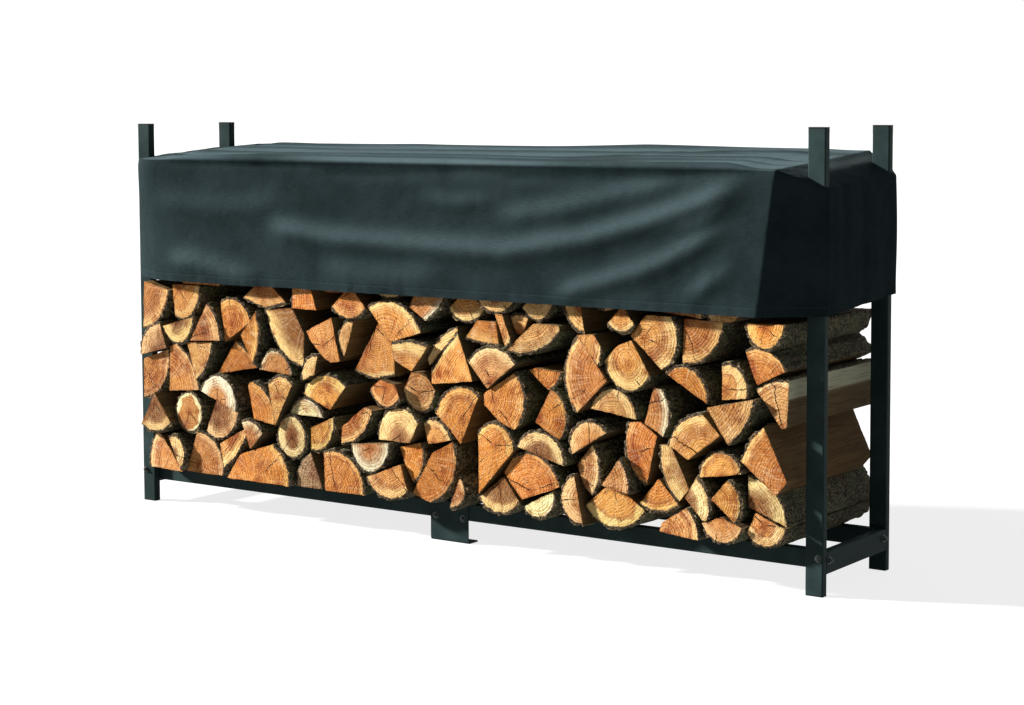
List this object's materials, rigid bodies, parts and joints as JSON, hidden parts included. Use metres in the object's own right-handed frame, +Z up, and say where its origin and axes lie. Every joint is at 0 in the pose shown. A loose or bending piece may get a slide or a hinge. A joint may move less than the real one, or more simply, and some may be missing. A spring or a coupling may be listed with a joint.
{
  "type": "firewood rack with cover and firewood",
  "caption": "Long steel-tube firewood rack, bolted uprights and rails with centre feet, filled with split logs under a fitted cloth cover that leaves the lower half open.",
  "frame": {"origin": "on the ground under the middle of the rack", "axes": "+X along the length to the right seen from the front, -Y to the front, +Z up"},
  "size_m": [2.4508, 0.5568, 1.219],
  "materials": {
    "powder_coated_steel": "dark green-black satin powder coat",
    "black_plastic": "matt moulded",
    "cover_cloth": "coated woven polyester",
    "split_wood": "split softwood with bark"
  },
  "bodies": {
    "root": {"front_left_upright": "powder_coated_steel", "front_right_upright": "powder_coated_steel", "back_left_upright": "powder_coated_steel", "back_right_upright": "powder_coated_steel", "front_rail_left": "powder_coated_steel", "front_rail_right": "powder_coated_steel", "back_rail_left": "powder_coated_steel", "back_rail_right": "powder_coated_steel", "left_end_rail": "powder_coated_steel", "right_end_rail": "powder_coated_steel", "front_centre_foot": "powder_coated_steel", "back_centre_foot": "powder_coated_steel", "upright_caps": "black_plastic", "ground_plugs": "black_plastic", "cover_top": "cover_cloth", "cover_front": "cover_cloth", "cover_back": "cover_cloth", "cover_left_end": "cover_cloth", "cover_right_end": "cover_cloth", "log_layer_01": "split_wood", "log_layer_02": "split_wood", "log_layer_03": "split_wood", "log_layer_04": "split_wood", "log_layer_05": "split_wood", "log_layer_06": "split_wood", "log_layer_07": "split_wood", "log_layer_08": "split_wood", "log_layer_09": "split_wood", "log_layer_10": "split_wood", "log_layer_11": "split_wood", "log_layer_12": "split_wood"}
  },
  "joints": []
}
